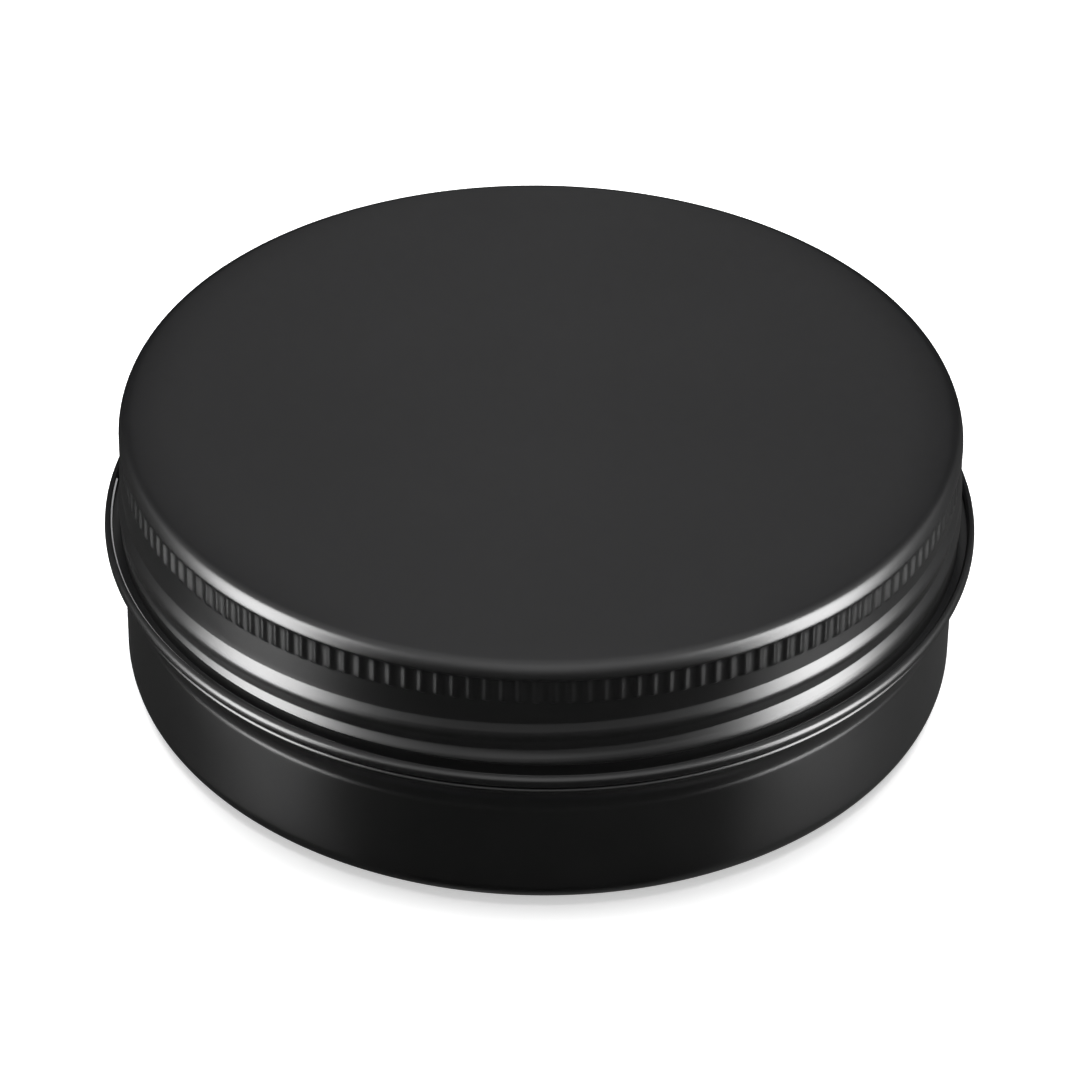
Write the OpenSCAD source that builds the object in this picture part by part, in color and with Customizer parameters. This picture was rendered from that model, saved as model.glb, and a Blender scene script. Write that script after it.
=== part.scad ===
// Shallow round aluminium tin with a screw lid, all sizes in millimetres.
// Origin at the centre of the bottom's rest ring, +Z up, closed position.

/* [Overall] */
// Diameter over the lid's hem, the widest point of the tin
hem_d = 83; // [76:0.5:92]
// Height of the closed tin
height = 28; // [26:0.5:36]
// Thickness of the coated sheet
sheet = 0.35; // [0.3:0.01:0.38]

/* [Lid] */
// How far the hem stands out from the lid's wall
hem_out = 1.88; // [1.7:0.02:2.2]
// Height of the lid from its hem to its top
lid_h = 12.7; // [12.6:0.05:12.9]
// Outside radius of the lid's top corner
lid_corner_r = 1.05; // [0.9:0.05:1.4]
// Height of the knurled grip band
knurl_h = 2.7; // [2:0.1:3]
// Number of flutes in the grip band
knurl_count = 168; // [120:4:180]
// Depth of each flute
knurl_depth = 0.2; // [0.1:0.02:0.24]

/* [Thread] */
// Axial advance of the lid in one turn
thread_lead = 5.7; // [5.4:0.1:6]
// Number of thread starts
thread_starts = 2; // [2:1:2]
// Height of the lid's rolled thread beads
thread_depth = 0.36; // [0.3:0.02:0.4]
// Radial clearance between the lid and the neck
thread_gap = 0.19; // [0.15:0.01:0.22]

/* [Base] */
// Outside radius of the bottom corner
base_corner_r = 2.65; // [2.2:0.05:3]
// Height of the recessed bottom panel above the rest ring
panel_rise = 0.5; // [0.4:0.05:0.8]
// Width of the flat ring that the tin rests on
rest_ring_w = 1.2; // [1:0.1:2]
// Height of the rolled crease below the shoulder
crease_z = 11.4; // [10.8:0.1:11.8]
// How far the shoulder under the lid's hem stands out from the wall
shoulder_out = 1.32; // [1.1:0.02:1.4]

/* [Liner] */
// Thickness of the foam liner
liner_t = 1.0; // [0.8:0.05:1.2]

/* [Hidden] */
$fn = 96;

h2 = sheet / 2;
hem_r = hem_d / 2;
lid_r = hem_r - hem_out;                 // lid wall, outside
lid_in = lid_r - sheet;                  // lid wall, inside
mouth_r = lid_r + 0.28;                  // lid wall below the thread, outside
neck_r = lid_in - thread_gap;            // neck, outside
wall_r = lid_r + 0.06;                   // base wall, outside
shoulder_r = wall_r + shoulder_out;      // shoulder, outside
hem_z = height - lid_h;                  // underside of the hem
liner_top = height - sheet - 0.05;
rim_z = liner_top - liner_t - 0.05;      // top of the neck's rolled rim
knurl_top = height - 1.6;
knurl_z0 = knurl_top - knurl_h;
bead_z = height - 7.8;                   // first thread bead where it crosses the front

// Points of an arc about (cx, cz), from angle a0 to a1, in n steps.
function arc(cx, cz, r, a0, a1, n) =
    [for (i = [0:n]) let (a = a0 + (a1 - a0) * i / n) [cx + r * cos(a), cz + r * sin(a)]];

// Smooth S between two points, travelling mainly along z.
function ess(r0, z0, r1, z1, n) =
    [for (i = [0:n]) [r0 + (r1 - r0) * (1 - cos(180 * i / n)) / 2, z0 + (z1 - z0) * i / n]];

function unit(v) = v / norm(v);
function leftn(v) = [-v[1], v[0]];

// A midline offset sideways by d, with mitred joints.
function offset_line(p, d) = [for (i = [0:len(p) - 1])
    let (a = unit(i == 0 ? p[1] - p[0] : p[i] - p[i - 1]),
         b = unit(i == len(p) - 1 ? p[i] - p[i - 1] : p[i + 1] - p[i]),
         na = leftn(a), nb = leftn(b))
    p[i] + d * (na + nb) / (1 + na * nb)];

function reversed(p) = [for (i = [len(p) - 1:-1:0]) p[i]];

// Sheet metal revolved about the axis: a midline given the sheet's thickness.
module spun(mid) {
    rotate_extrude() polygon(concat(offset_line(mid, h2), reversed(offset_line(mid, -h2))));
}

// Drawn base: recessed panel, rest ring, corner, wall, crease, shoulder, neck and rolled rim.
wall_m = wall_r - h2;
neck_m = neck_r - h2;
upper_m = wall_m - 0.05;                 // wall above the crease
ring_r1 = wall_r - base_corner_r;        // outer edge of the rest ring
ring_r0 = ring_r1 - rest_ring_w;         // inner edge of the rest ring
rim_roll = 0.62;                         // midline radius of the rolled rim
shoulder_z = hem_z - 0.4 - h2;           // midline of the shoulder's top
shoulder_roll = 0.3;                     // midline radius of the shoulder's edge
base_mid = concat(
    [[0, panel_rise + h2], [ring_r0 - 1.1, panel_rise + h2], [ring_r0 - 0.85, panel_rise + h2 - 0.05],
     [ring_r0 - 0.2, h2 + 0.04], [ring_r0, h2]],
    arc(ring_r1, base_corner_r, base_corner_r - h2, 270, 360, 8),
    ess(wall_m, crease_z - 0.2, upper_m, crease_z + 0.2, 3),
    arc(upper_m + 2.6, shoulder_z - 2.7, 2.6, 180, 134, 6),
    arc(shoulder_r - h2 - shoulder_roll, shoulder_z - shoulder_roll, shoulder_roll, -30, 90, 6),
    arc(neck_m + 0.6, shoulder_z + 0.6, 0.6, 270, 180, 6),
    arc(neck_m - rim_roll, rim_z - h2 - rim_roll, rim_roll, 0, 240, 14));

// Drawn lid: top, corner, wall, mouth, and the hem folded outward and up to its cut edge.
lid_m = lid_r - h2;
mouth_m = mouth_r - h2;
hem_fold = 0.275;                        // midline radius of the hem's fold
hem_lean = 0.75;                         // midline radius of the hem's leg, which leans in
lid_mid = concat(
    [[0, height - h2]],
    arc(lid_r - lid_corner_r, height - lid_corner_r, lid_corner_r - h2, 90, 0, 9),
    ess(lid_m, hem_z + 2.9, mouth_m, hem_z + 1.9, 5),
    arc(mouth_m + 1, hem_z + h2 + 1, 1, 180, 260, 7),
    arc(hem_r - h2 - hem_fold, hem_z + h2 + hem_fold, hem_fold, 270, 350, 6),
    arc(hem_r - h2 - hem_lean, hem_z + h2 + hem_fold + 0.18, hem_lean, 4, 62, 5));

// A helical bar about the axis, of a quadrilateral section: points are [radius, z, fades], deg0
// and deg1 are azimuths counted anticlockwise from the front, and the bar sinks at both ends.
module helix_bar(deg0, deg1, z_front, sec, r_sunk, step = 6, fade = 18) {
    n = round((deg1 - deg0) / step);
    m = len(sec);
    pts = [for (i = [0:n]) let (
            a = deg0 + (deg1 - deg0) * i / n,
            f = min(1, (a - deg0) / fade, (deg1 - a) / fade),
            z = z_front + thread_lead * a / 360)
        for (s = sec) let (r = s[2] == 1 ? r_sunk + (s[0] - r_sunk) * f : s[0])
            [r * sin(a), -r * cos(a), z + s[1]]];
    sides = [for (i = [0:n - 1]) for (j = [0:m - 1]) let (k = (j + 1) % m)
        [i * m + j, (i + 1) * m + j, (i + 1) * m + k, i * m + k]];
    polyhedron(points = pts, faces = concat(
        [[for (j = [0:m - 1]) j]], sides, [[for (j = [m - 1:-1:0]) n * m + j]]), convexity = 4);
}

// One rolled thread, standing out from r_face to r_crest, and sunk into the sheet by r_in.
// Its upper flank starts up above the crest and its lower flank ends down below it.
module rolled_bar(deg0, deg1, r_face, r_crest, up, down, flat, r_in) {
    q = [[r_face - r_in, -down, 0], [r_crest, -flat, 1], [r_crest, flat, 1], [r_face - r_in, up, 0]];
    helix_bar(deg0, deg1, bead_z, reversed(q), r_face - r_in * 0.5);
}

module starts() {
    for (k = [0:thread_starts - 1]) rotate([0, 0, 360 * k / thread_starts]) children();
}

module base() color([0.06, 0.06, 0.065]) {
    crest = neck_r + thread_depth + 0.04;
    difference() {
        union() {
            spun(base_mid);
            starts() rolled_bar(-170, 50, neck_r, crest, 0.8, 0.8, 0.22, 0.12);
        }
        starts() rolled_bar(-170, 50, neck_r - sheet, crest - sheet, 0.75, 0.75, 0.14, 0.3);
    }
}

module flutes() {
    rf = 0.5;
    for (i = [0:knurl_count - 1]) rotate([0, 0, 360 * (i + 0.5) / knurl_count])
        translate([lid_r + 0.2 - knurl_depth + rf, 0, knurl_z0 + 0.1])
            cylinder(r = rf, h = knurl_h - 0.2, $fn = 16);
}

module lid_shell() color([0.07, 0.07, 0.075]) {
    difference() {
        union() {
            spun(lid_mid);
            rotate_extrude() polygon([[lid_r - 0.1, knurl_z0 - 0.15], [lid_r + 0.2, knurl_z0 + 0.1],
                [lid_r + 0.2, knurl_top - 0.1], [lid_r - 0.1, knurl_top + 0.15]]);
            starts() rolled_bar(-235, 115, lid_r, lid_r + thread_depth, 1.25, 1.3, 0.3, 0.12);
        }
        starts() rolled_bar(-265, 110, lid_in, lid_in + thread_depth, 1.3, 1.35, 0.35, 0.3);
        flutes();
    }
}

module lid_liner() color([0.93, 0.93, 0.91]) {
    r = neck_r - 0.15;
    translate([0, 0, liner_top - liner_t])
        rotate_extrude() polygon([[0, 0], [r - 0.12, 0], [r, 0.12],
            [r, liner_t - 0.6], [r - 0.55, liner_t], [0, liner_t]]);
}

base();
lid_shell();
lid_liner();
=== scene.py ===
import math
import bpy
import bmesh
import numpy as np
from mathutils import Matrix, Vector


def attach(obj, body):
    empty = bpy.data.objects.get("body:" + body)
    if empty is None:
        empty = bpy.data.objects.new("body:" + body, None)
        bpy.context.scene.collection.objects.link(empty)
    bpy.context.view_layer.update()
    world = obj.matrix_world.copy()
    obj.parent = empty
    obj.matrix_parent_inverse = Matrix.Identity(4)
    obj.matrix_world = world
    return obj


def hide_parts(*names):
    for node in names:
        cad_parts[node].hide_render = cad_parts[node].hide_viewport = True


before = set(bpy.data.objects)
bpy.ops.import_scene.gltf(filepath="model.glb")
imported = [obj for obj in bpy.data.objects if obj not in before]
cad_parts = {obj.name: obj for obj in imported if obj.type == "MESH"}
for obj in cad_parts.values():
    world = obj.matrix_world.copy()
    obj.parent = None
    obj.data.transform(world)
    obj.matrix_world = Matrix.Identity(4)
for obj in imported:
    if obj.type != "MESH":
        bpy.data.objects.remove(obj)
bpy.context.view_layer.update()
MM = 0.001
scene = bpy.context.scene

# ------------------------------------------------------------------ camera
ELEV, ROLL, DIST = 0.6332, 0.0150, 519.35
back = Vector((0, -math.cos(ELEV), math.sin(ELEV)))
right = Vector((1, 0, 0))
up = Vector((0, math.sin(ELEV), math.cos(ELEV)))
x_cam = math.cos(ROLL) * right + math.sin(ROLL) * up
y_cam = -math.sin(ROLL) * right + math.cos(ROLL) * up
aim = Vector((0, 0, 13.833))
eye = aim + back * DIST
aim = aim + 0.041 * x_cam - 1.084 * y_cam
z_cam = (eye - aim).normalized()
x_cam = (x_cam - x_cam.dot(z_cam) * z_cam).normalized()
y_cam = z_cam.cross(x_cam)
cam_data = bpy.data.cameras.new("camera")
cam_data.sensor_width = 36.0
cam_data.lens = 36.0 * 5420.6 / 1080.0
cam_data.clip_start = 0.01
cam_data.clip_end = 30.0
cam = bpy.data.objects.new("camera", cam_data)
scene.collection.objects.link(cam)
m = Matrix((x_cam, y_cam, z_cam)).transposed().to_4x4()
m.translation = eye * MM
cam.matrix_world = m
scene.camera = cam

# ------------------------------------------------------------------ mesh tools
TAU = 2 * math.pi


def smoothstep(a, b, x):
    t = np.clip((x - a) / (b - a), 0, 1)
    return t * t * (3 - 2 * t)


def arc(cx, cz, r, a0, a1, n):
    t = np.radians(np.linspace(a0, a1, n + 1))
    return [(cx + r * math.cos(a), cz + r * math.sin(a)) for a in t]


def spline(points, step):
    """Points resampled along a centripetal-like Catmull-Rom curve, about step apart."""
    p = np.array(points, float)
    q = np.vstack([2 * p[0] - p[1], p, 2 * p[-1] - p[-2]])
    out = []
    for i in range(len(p) - 1):
        a, b, c, d = q[i], q[i + 1], q[i + 2], q[i + 3]
        n = max(1, int(math.ceil(np.linalg.norm(c - b) / step)))
        for j in range(n):
            t = j / n
            out.append(0.5 * ((2 * b) + (c - a) * t + (2 * a - 5 * b + 4 * c - d) * t * t
                              + (3 * b - a - 3 * c + d) * t ** 3))
    out.append(p[-1])
    return [tuple(x) for x in out]


def offset(points, d):
    """A line of (r, z) points moved sideways by d, to the left of its direction."""
    p = np.array(points, float)
    t = np.gradient(p, axis=0)
    t /= np.linalg.norm(t, axis=1)[:, None]
    return [tuple(x) for x in p + d * np.stack([-t[:, 1], t[:, 0]], 1)]


class Skin:
    """A closed surface of rings about the z axis, with a cap at each end of the list."""

    def __init__(self, name):
        self.name = name
        self.bm = bmesh.new()
        self.prev = None
        self.slots = []

    def ring(self, r, z, n, mat=0):
        """r and z are numbers, or functions of the azimuths (radians from the front)."""
        a = np.arange(n) * TAU / n
        rr = r(a) if callable(r) else np.full(n, float(r))
        zz = z(a) if callable(z) else np.full(n, float(z))
        new = [self.bm.verts.new((rr[i] * math.sin(a[i]) * MM, -rr[i] * math.cos(a[i]) * MM, zz[i] * MM))
               for i in range(n)]
        if self.prev is not None:
            self._join(self.prev, new, mat)
        self.prev = new
        return new

    def tip(self, z, mat=0):
        """A single point on the axis, which opens or closes the surface."""
        v = self.bm.verts.new((0, 0, z * MM))
        if self.prev is None:
            self.prev = [v]
        else:
            self._join(self.prev, [v], mat)

    def _face(self, verts, mat):
        f = self.bm.faces.new(verts)
        f.material_index = mat
        f.smooth = True

    def _join(self, a, b, mat):
        na, nb = len(a), len(b)
        if na == 1:
            for i in range(nb):
                self._face((a[0], b[i], b[(i + 1) % nb]), mat)
        elif nb == 1:
            for i in range(na):
                self._face((a[i], b[0], a[(i + 1) % na]), mat)
        elif na == nb:
            for i in range(na):
                j = (i + 1) % na
                self._face((a[i], b[i], b[j], a[j]), mat)
        else:
            k = max(na, nb) // min(na, nb)
            coarse, fine, flip = (a, b, False) if na < nb else (b, a, True)
            h = k // 2
            for i in range(len(coarse)):
                c0, c1 = coarse[i], coarse[(i + 1) % len(coarse)]
                f = [fine[(i * k + q) % len(fine)] for q in range(k + 1)]
                tris = [(c0, f[q], f[q + 1]) for q in range(h)]
                tris += [(c0, f[h], c1)]
                tris += [(c1, f[q], f[q + 1]) for q in range(h, k)]
                for t in tris:
                    self._face(t[::-1] if flip else t, mat)

    def finish(self, materials, sharp=35):
        bmesh.ops.recalc_face_normals(self.bm, faces=self.bm.faces)
        mesh = bpy.data.meshes.new(self.name)
        self.bm.to_mesh(mesh)
        self.bm.free()
        for m_ in materials:
            mesh.materials.append(m_)
        mesh.set_sharp_from_angle(angle=math.radians(sharp))
        o = bpy.data.objects.new(self.name, mesh)
        scene.collection.objects.link(o)
        return o


# ------------------------------------------------------------------ sizes, in millimetres
TOP = 28.0
SHEET = 0.35
LID_R = 39.64            # the lid's wall, outside
CREST_R = 39.84          # over the knurl
K1, K0 = 26.42, 23.62    # the knurl's upper and lower ends
FLUTES = 168
N = 336                  # columns of the plain surfaces
NK = FLUTES * 8          # columns of the knurl
LEAD = 5.7
CREST_Z = 20.10          # the first bead's crest where it crosses the front
BASE_R = 39.67
NECK_R = 39.08


def signed(a):
    return (a + math.pi) % TAU - math.pi


def profile(knots):
    """A dense, rounded table through (height above the crest, stand-out) knots."""
    k = np.array(sorted(knots), float)
    x = np.linspace(k[0, 0] - 0.3, k[-1, 0] + 0.3, 400)
    y = np.interp(x, k[:, 0], k[:, 1])
    w = np.hanning(25)
    y = np.convolve(np.pad(y, 12, mode="edge"), w / w.sum(), mode="valid")
    return x, y


LID_BEAD = profile([(1.25, 0), (0.95, 0.11), (0.45, 0.29), (0.15, 0.355), (-0.1, 0.362), (-0.5, 0.30), (-1.0, 0.14), (-1.6, 0)])
NECK_BEAD = profile([(0.85, 0), (0.55, 0.16), (0.2, 0.38), (-0.2, 0.38), (-0.55, 0.16), (-0.85, 0)])


def bead(a, z, z_front, table, a0, a1, fade):
    """Stand-out of a two-start rolled thread at azimuths a and heights z."""
    best = np.zeros_like(z)
    deg = np.degrees(signed(a))
    for start in (0, 1):
        for turn in (-2, -1, 0, 1, 2):
            s = deg + 360 * turn - 180 * start
            e = smoothstep(a0, a0 + fade, s) * smoothstep(-a1, -a1 + fade, -s)
            u = z - (z_front + LEAD * s / 360)
            best = np.maximum(best, np.interp(u, table[0], table[1]) * e)
    return best


def lid_body(z):
    """Radius of the lid's wall under its thread."""
    return LID_R + 0.10 * smoothstep(21.5, 18.6, z) + 0.18 * smoothstep(18.3, 16.9, z)


def lid_wall(a, z):
    z = np.asarray(z, float) + np.zeros_like(a)
    return lid_body(z) + bead(a, z, CREST_Z, LID_BEAD, -292, 112, 26) * smoothstep(16.75, 17.25, z)


def knurl(a, z):
    """Radius over the grip band: flutes pressed in between narrow ribs, which end in the corner above."""
    rib = (0.5 + 0.5 * np.cos(a * FLUTES)) ** 2.0
    foot = smoothstep(K0, K0 + 0.3, z)
    return LID_R + (CREST_R - LID_R) * foot * (1 - (1 - rib) * smoothstep(-K1, -K1 + 0.3, -z))


# ------------------------------------------------------------------ materials
def new_mat(name):
    mat = bpy.data.materials.new(name)
    mat.use_nodes = True
    nt = mat.node_tree
    nt.nodes.clear()
    out = nt.nodes.new("ShaderNodeOutputMaterial")
    p = nt.nodes.new("ShaderNodeBsdfPrincipled")
    nt.links.new(p.outputs["BSDF"], out.inputs["Surface"])
    co = nt.nodes.new("ShaderNodeTexCoord")
    return mat, nt, p, co


def noise(nt, co, scale, detail=2.0, rough=0.5, vec=None):
    n = nt.nodes.new("ShaderNodeTexNoise")
    n.inputs["Scale"].default_value = scale
    n.inputs["Detail"].default_value = detail
    n.inputs["Roughness"].default_value = rough
    nt.links.new(vec if vec is not None else co.outputs["Object"], n.inputs["Vector"])
    return n


def remap(nt, sock, a, b, c, d, clamp=True):
    n = nt.nodes.new("ShaderNodeMapRange")
    n.clamp = clamp
    for k, v in (("From Min", a), ("From Max", b), ("To Min", c), ("To Max", d)):
        n.inputs[k].default_value = v
    nt.links.new(sock, n.inputs["Value"])
    return n.outputs["Result"]


def mix_color(nt, fac, a, b):
    n = nt.nodes.new("ShaderNodeMix")
    n.data_type = "RGBA"
    nt.links.new(fac, n.inputs["Factor"])
    for k, v in ((6, a), (7, b)):
        if hasattr(v, "is_linked"):
            nt.links.new(v, n.inputs[k])
        else:
            n.inputs[k].default_value = (*v, 1)
    return n.outputs[2]


def bump(nt, p, parts):
    """A chain of bump nodes from (height socket, distance in metres, strength)."""
    last = None
    for sock, dist, strength in parts:
        b = nt.nodes.new("ShaderNodeBump")
        b.inputs["Distance"].default_value = dist
        b.inputs["Strength"].default_value = strength
        nt.links.new(sock, b.inputs["Height"])
        if last is not None:
            nt.links.new(last, b.inputs["Normal"])
        last = b.outputs["Normal"]
    nt.links.new(last, p.inputs["Normal"])


def coat(name, color, rough):
    """Satin black stoving enamel on aluminium: fine orange peel, a grain and faint handling marks."""
    mat, nt, p, co = new_mat(name)
    grain = noise(nt, co, 5200, 2.0, 0.55)
    peel = noise(nt, co, 900, 3.0, 0.5)
    cloud = noise(nt, co, 45, 4.0, 0.6)
    p.inputs["Specular IOR Level"].default_value = 0.5
    p.inputs["IOR"].default_value = 2.0
    nt.links.new(remap(nt, cloud.outputs["Fac"], 0.3, 0.7, rough - 0.02, rough + 0.03), p.inputs["Roughness"])
    tone = remap(nt, peel.outputs["Fac"], 0.3, 0.7, 0.0, 1.0)
    c = mix_color(nt, tone, [x * 0.85 for x in color], [x * 1.15 for x in color])
    nt.links.new(c, p.inputs["Base Color"])
    bump(nt, p, [(peel.outputs["Fac"], 0.00001, 0.35), (grain.outputs["Fac"], 0.000004, 0.5)])
    return mat


def aluminium(name, rough, turned=True):
    """Bare drawn aluminium: fine lines round the axis, and a slight cloudiness."""
    mat, nt, p, co = new_mat(name)
    sep = nt.nodes.new("ShaderNodeSeparateXYZ")
    nt.links.new(co.outputs["Object"], sep.inputs["Vector"])
    comb = nt.nodes.new("ShaderNodeCombineXYZ")
    ln = nt.nodes.new("ShaderNodeVectorMath")
    ln.operation = "LENGTH"
    flat = nt.nodes.new("ShaderNodeCombineXYZ")
    nt.links.new(sep.outputs["X"], flat.inputs["X"])
    nt.links.new(sep.outputs["Y"], flat.inputs["Y"])
    nt.links.new(flat.outputs["Vector"], ln.inputs[0])
    nt.links.new(ln.outputs["Value"], comb.inputs["X"])
    nt.links.new(sep.outputs["Z"], comb.inputs["Z"])
    lines = noise(nt, co, 6500, 2.0, 0.6, vec=comb.outputs["Vector"])
    cloud = noise(nt, co, 60, 4.0, 0.6)
    p.inputs["Metallic"].default_value = 0.5
    c = mix_color(nt, cloud.outputs["Fac"], (0.76, 0.765, 0.77), (0.86, 0.86, 0.86))
    nt.links.new(c, p.inputs["Base Color"])
    nt.links.new(remap(nt, lines.outputs["Fac"], 0.3, 0.7, rough - 0.06, rough + 0.08), p.inputs["Roughness"])
    bump(nt, p, [(lines.outputs["Fac"], 0.000006, 0.4)])
    return mat


def foam(name):
    """White closed-cell polyethylene foam sheet."""
    mat, nt, p, co = new_mat(name)
    cells = nt.nodes.new("ShaderNodeTexVoronoi")
    cells.inputs["Scale"].default_value = 1600
    nt.links.new(co.outputs["Object"], cells.inputs["Vector"])
    soft = noise(nt, co, 260, 3.0, 0.5)
    c = mix_color(nt, soft.outputs["Fac"], (0.82, 0.82, 0.80), (0.90, 0.90, 0.88))
    nt.links.new(c, p.inputs["Base Color"])
    nt.links.new(remap(nt, cells.outputs["Distance"], 0.0, 0.8, 0.55, 0.8), p.inputs["Roughness"])
    p.inputs["Sheen Weight"].default_value = 0.15
    p.inputs["Subsurface Weight"].default_value = 0.15
    p.inputs["Subsurface Scale"].default_value = 0.0008
    bump(nt, p, [(cells.outputs["Distance"], 0.00005, 0.6), (soft.outputs["Fac"], 0.0001, 0.3)])
    return mat


black_lid = coat("black_coat_lid", (0.0036, 0.0036, 0.0039), 0.34)
black_base = coat("black_coat_base", (0.0031, 0.0031, 0.0034), 0.34)
cut = aluminium("cut_edge", 0.6)
white_foam = foam("liner_foam")

# ------------------------------------------------------------------ lid
lid = Skin("lid_skin")
lid.tip(TOP)
def crown(r):
    """How far the lid's top falls towards its corner."""
    return 0.125 * max(0.0, (r - 33.5) / 4.95) ** 3


for r in (4, 9, 14, 19, 24, 29, 32, 34.2, 35.1, 36, 36.8, 37.5, 38.1):
    lid.ring(r, TOP - crown(r), N)
corner = spline([(38.45, 27.875), (38.80, 27.835), (39.12, 27.745), (39.36, 27.60), (39.53, 27.40), (39.655, 27.17),
                 (39.745, 26.94), (39.81, 26.70), (CREST_R - 0.005, 26.55), (CREST_R, 26.46)], 0.12)
for r, z in corner:
    lid.ring(r, z, N)
ends = np.array([0, 0.07, 0.13, 0.19, 0.25, 0.33])
for z in list(K1 - ends) + list(np.linspace(K1 - 0.8, K0 + 0.8, 4)) + list((K0 + ends)[::-1]):
    lid.ring(lambda a, z=z: knurl(a, z), z, NK)
for z in np.linspace(23.5, 22.75, 5):
    lid.ring(lambda a, z=z: lid_wall(a, z), z, N)
rows = np.arange(22.70, 16.93, -0.07)
for z in rows:
    lid.ring(lambda a, z=z: lid_wall(a, z), z, N)

# the mouth and the hem: midline down, out and back up over itself to the cut edge
w0 = lid_body(16.93) - SHEET / 2
hem_mid = [(w0, 16.90), (w0 + 0.003, 16.60), (w0 + 0.007, 16.30), (w0 + 0.01, 16.0)]
hem_mid += arc(w0 + 0.26, 15.725, 0.25, 180, 270, 8)
hem_mid += [(40.25, 15.475), (40.50, 15.475), (40.75, 15.475), (40.93, 15.475)]
hem_mid += arc(41.04, 15.755, 0.28, -90, 0, 8)
hem_mid += spline([(41.32, 15.90), (41.317, 16.02), (41.285, 16.135), (41.215, 16.225), (41.10, 16.28), (40.955, 16.325)], 0.07)
outer = offset(hem_mid, SHEET / 2)
inner = offset(hem_mid, -SHEET / 2)
for r, z in outer:
    lid.ring(r, z, N)
inner.append((40.77, 16.20))
e0, e1 = np.array(outer[-1]), np.array(inner[-1])
for t in (0.5,):
    q = e0 + (e1 - e0) * t
    lid.ring(q[0], q[1], N, mat=1)
lid.ring(e1[0], e1[1], N, mat=1)
q = e1 + (np.array(inner[-2]) - e1) * 0.55
lid.ring(q[0], q[1], N, mat=1)
for r, z in inner[-2::-1]:
    lid.ring(r, z, N)
for z in np.arange(17.05, 22.6, 0.16):
    lid.ring(lambda a, z=z: lid_wall(a, z) - SHEET, z, N)
for z in (22.8, 24.5, 26.2):
    lid.ring(LID_R - SHEET, z, N)
for r, z in offset(corner, -SHEET)[::-2]:
    lid.ring(r, z, N)
for r in (37.4, 36, 34.2, 29, 19, 9):
    lid.ring(r, TOP - crown(r) - SHEET, N)
lid.tip(TOP - SHEET)
lid = lid.finish([black_lid, cut])
# the hem's cut edge is bare aluminium, but it keeps the bright bare-metal finish on the left only, as a painted
# highlight standing in for the edge's glint there; elsewhere it takes the black coat
for poly in lid.data.polygons:
    if poly.material_index == 1 and not -1.66 < math.atan2(poly.center.x, -poly.center.y) < -0.5:
        poly.material_index = 0

# ------------------------------------------------------------------ base
RIM = 26.55
base = Skin("base_skin")
R0 = BASE_R - 2.65
outside = [(4, 0.5), (12, 0.5), (22, 0.5), (30, 0.5), (33.6, 0.5), (34.3, 0.5)]
outside += spline([(34.65, 0.485), (34.95, 0.40), (35.35, 0.12), (35.7, 0.0)], 0.15)
outside += [(36.1, 0.0), (36.6, 0.0)]
outside += arc(R0, 2.65, 2.65, -90, 0, 16)
outside += [(BASE_R, z) for z in (4, 6, 8, 10, 10.8)]
outside += spline([(BASE_R, 11.12), (BASE_R - 0.005, 11.26), (BASE_R - 0.022, 11.42), (BASE_R - 0.042, 11.58), (BASE_R - 0.046, 11.75),
                   (39.64, 12.05), (39.715, 12.6), (39.95, 13.2), (40.35, 13.8), (40.75, 14.25)], 0.09)
outside += spline([(40.75, 14.25), (40.95, 14.47), (41.0, 14.65), (40.93, 14.82), (40.75, 14.90), (40.40, 14.92),
                   (39.90, 14.95), (39.40, 15.2), (NECK_R, 15.7)], 0.09)[1:]


def neck(a, z, out=0.0):
    return NECK_R + bead(a, z + 0 * a, CREST_Z, NECK_BEAD, -165, 60, 22) + out


base.tip(0.5)
for r, z in outside:
    base.ring(r, z, N)
zs = np.arange(15.85, 24.6, 0.12)
for z in zs:
    base.ring(lambda a, z=z: neck(a, z), z, N)
roll = arc(NECK_R - SHEET / 2 - 0.62, RIM - SHEET / 2 - 0.62, 0.62, 0, 238, 16)
base.ring(NECK_R, 25.2, N)
for r, z in offset(roll, -SHEET / 2):
    base.ring(r, z, N)
oi = offset(roll, SHEET / 2)
base.ring((oi[-1][0] + offset(roll, -SHEET / 2)[-1][0]) / 2, (oi[-1][1] + offset(roll, -SHEET / 2)[-1][1]) / 2, N, mat=1)
base.ring(oi[-1][0], oi[-1][1], N, mat=1)
for r, z in oi[-2::-1]:
    base.ring(r, z, N)
base.ring(NECK_R - SHEET, 25.2, N)
for z in zs[::-1][1::2]:
    base.ring(lambda a, z=z: neck(a, z, -SHEET), z, N)
keep = [q for q in outside if q[1] < 15.75]
ins = offset(keep, SHEET)
for r, z in ins[::-1][1::2]:
    if r > 1:
        base.ring(r, max(z, 0.0), N)
base.tip(0.5 + SHEET)
base = base.finish([black_base, cut])

# ------------------------------------------------------------------ liner
lin = Skin("liner_pad")
LT, LB, LR = 27.60, 26.60, 38.93
rng = np.random.default_rng(7)
ph = rng.uniform(0, TAU, 8)


def wavy(r, z, amp):
    def f(a):
        s = 0
        for i, k in enumerate((3, 5, 8, 11)):
            s = s + np.sin(k * a + ph[i] + r * 0.21 * (i + 1)) / (i + 1.5)
        return z + amp * s
    return f


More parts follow.
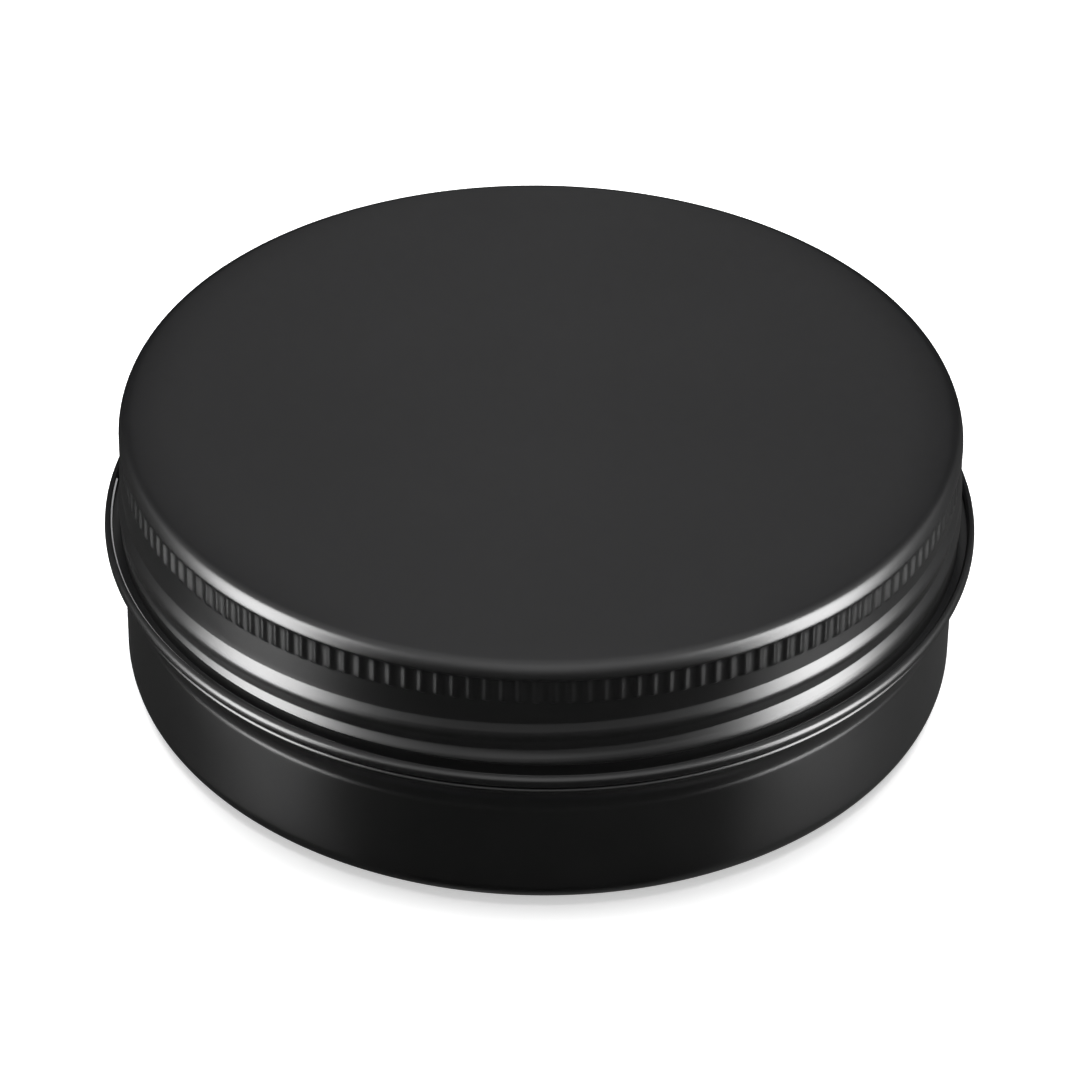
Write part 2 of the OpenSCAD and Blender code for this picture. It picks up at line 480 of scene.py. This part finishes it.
lin.tip(LT)
for r in np.arange(3, 37.5, 3):
    lin.ring(r, LT, 168)
for r, z in [(38.1, LT), (38.38, LT - 0.03), (38.62, LT - 0.18), (38.82, LT - 0.40), (LR, LT - 0.6),
             (LR, LB + 0.3), (LR - 0.03, LB + 0.14), (LR - 0.12, LB + 0.03), (LR - 0.3, LB)]:
    lin.ring(r, z, 168)
for r in (38.35, 38.1, 37.8, 37.3, 36.8, 36.5):
    d = 0.10 * math.exp(-((r - 37.75) / 0.45) ** 2) if r < 38.3 else 0
    lin.ring(r, LB + d, 168)
for r in np.arange(35, 2, -3):
    lin.ring(r, wavy(r, LB + 0.012, 0.008), 168)
lin.tip(LB + 0.012)
lin = lin.finish([white_foam], sharp=60)

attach(lid, "lid_body")
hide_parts("lid_shell")
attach(base, "base_body")
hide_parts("base")
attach(lin, "liner_body")
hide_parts("lid_liner")

# ------------------------------------------------------------------ floor
bm = bmesh.new()
n = 24
size = 3.0
grid = [[bm.verts.new(((i / n - 0.5) * size, (j / n - 0.5) * size, -0.00005)) for i in range(n + 1)] for j in range(n + 1)]
for j in range(n):
    for i in range(n):
        bm.faces.new((grid[j][i], grid[j][i + 1], grid[j + 1][i + 1], grid[j + 1][i]))
mesh = bpy.data.meshes.new("floor")
bm.to_mesh(mesh)
bm.free()
floor = bpy.data.objects.new("floor", mesh)
scene.collection.objects.link(floor)
mat, nt, p, co = new_mat("pale_floor")
p.inputs["Base Color"].default_value = (0.86, 0.86, 0.86, 1)
p.inputs["Roughness"].default_value = 0.9
p.inputs["Specular IOR Level"].default_value = 0.1
p.inputs["Emission Color"].default_value = (1, 1, 1, 1)
p.inputs["Emission Strength"].default_value = 0.46
mesh.materials.append(mat)
floor.visible_glossy = False

# ------------------------------------------------------------------ light
world = bpy.data.worlds.new("studio")
scene.world = world
world.use_nodes = True
nt = world.node_tree
nt.nodes.clear()
out = nt.nodes.new("ShaderNodeOutputWorld")
bg = nt.nodes.new("ShaderNodeBackground")
co = nt.nodes.new("ShaderNodeTexCoord")
sep = nt.nodes.new("ShaderNodeSeparateXYZ")
nt.links.new(co.outputs["Generated"], sep.inputs["Vector"])
ramp = nt.nodes.new("ShaderNodeValToRGB")
ramp.color_ramp.elements[0].position = 0.0
ramp.color_ramp.elements[0].color = (0.0015, 0.0015, 0.0015, 1)
ramp.color_ramp.elements[1].position = 1.0
ramp.color_ramp.elements[1].color = (0.40, 0.40, 0.40, 1)
e = ramp.color_ramp.elements.new(0.50)
e.color = (0.011, 0.011, 0.011, 1)
e = ramp.color_ramp.elements.new(0.70)
e.color = (0.33, 0.33, 0.33, 1)
mr = nt.nodes.new("ShaderNodeMapRange")
mr.inputs["From Min"].default_value = -1
mr.inputs["From Max"].default_value = 1
nt.links.new(sep.outputs["Z"], mr.inputs["Value"])
nt.links.new(mr.outputs["Result"], ramp.inputs["Fac"])
# the backdrop light is a tall soft panel, so it dims to either side of the back
def math_node(op, a_, b_=None):
    n_ = nt.nodes.new("ShaderNodeMath")
    n_.operation = op
    for i_, v_ in enumerate((a_, b_)):
        if v_ is None:
            continue
        if hasattr(v_, "is_linked"):
            nt.links.new(v_, n_.inputs[i_])
        else:
            n_.inputs[i_].default_value = v_
    return n_.outputs[0]


def smooth_range(sock, lo, hi, c, d):
    n_ = nt.nodes.new("ShaderNodeMapRange")
    n_.interpolation_type = "SMOOTHSTEP"
    for k_, v_ in (("From Min", lo), ("From Max", hi), ("To Min", c), ("To Max", d)):
        n_.inputs[k_].default_value = v_
    nt.links.new(sock, n_.inputs["Value"])
    return n_.outputs["Result"]


side = smooth_range(math_node("ABSOLUTE", sep.outputs["X"]), 0.01, 0.15, 0.0, 1.0)
rear = smooth_range(sep.outputs["Y"], 0.35, 0.65, 0.0, 0.93)
dim = math_node("SUBTRACT", 1.0, math_node("MULTIPLY", side, rear))
scaled = nt.nodes.new("ShaderNodeVectorMath")
scaled.operation = "SCALE"
nt.links.new(ramp.outputs["Color"], scaled.inputs[0])
nt.links.new(dim, scaled.inputs["Scale"])
nt.links.new(scaled.outputs["Vector"], bg.inputs["Color"])
bg.inputs["Strength"].default_value = 1.0
# what the camera sees past the floor's edge is as pale as the floor
pale = nt.nodes.new("ShaderNodeBackground")
pale.inputs["Color"].default_value = (1, 1, 1, 1)
path = nt.nodes.new("ShaderNodeLightPath")
both = nt.nodes.new("ShaderNodeMixShader")
nt.links.new(path.outputs["Is Camera Ray"], both.inputs[0])
nt.links.new(bg.outputs["Background"], both.inputs[1])
nt.links.new(pale.outputs["Background"], both.inputs[2])
nt.links.new(both.outputs["Shader"], out.inputs["Surface"])


def area(name, az, el, dist, w, h, watt, glossy=True, diffuse=True, target=(0, 0, 0.018)):
    """A rectangular softbox at azimuth az (from the front, towards +X) and elevation el, in degrees."""
    d = bpy.data.lights.new(name, "AREA")
    d.shape = "RECTANGLE"
    d.size = w
    d.size_y = h
    d.energy = watt
    o = bpy.data.objects.new(name, d)
    scene.collection.objects.link(o)
    a, b = math.radians(az), math.radians(el)
    v = Vector((math.cos(b) * math.sin(a), -math.cos(b) * math.cos(a), math.sin(b)))
    pos = Vector(target) + v * dist
    z = v
    x = Vector((0, 0, 1)).cross(z)
    x = x.normalized() if x.length > 1e-3 else Vector((1, 0, 0))
    y = z.cross(x)
    m_ = Matrix((x, y, z)).transposed().to_4x4()
    m_.translation = pos
    o.matrix_world = m_
    o.visible_camera = False
    o.visible_glossy = glossy
    o.visible_diffuse = diffuse
    return o


area("box_left", -68, 5, 0.32, 0.16, 0.34, 1.50, diffuse=False)
area("box_right", 69, 6, 0.32, 0.16, 0.34, 1.62, diffuse=False)
area("front_top", 0, 44, 0.50, 0.24, 0.60, 0.085, diffuse=False)
area("strip_left", -80, -28, 0.05, 0.08, 0.34, 0.003, diffuse=False)
area("strip_right", 83, -28, 0.05, 0.08, 0.34, 0.008, diffuse=False)
area("overhead", 180, 72, 1.1, 1.3, 1.3, 36, glossy=False)

scene.view_settings.view_transform = "Standard"
scene.view_settings.look = "None"
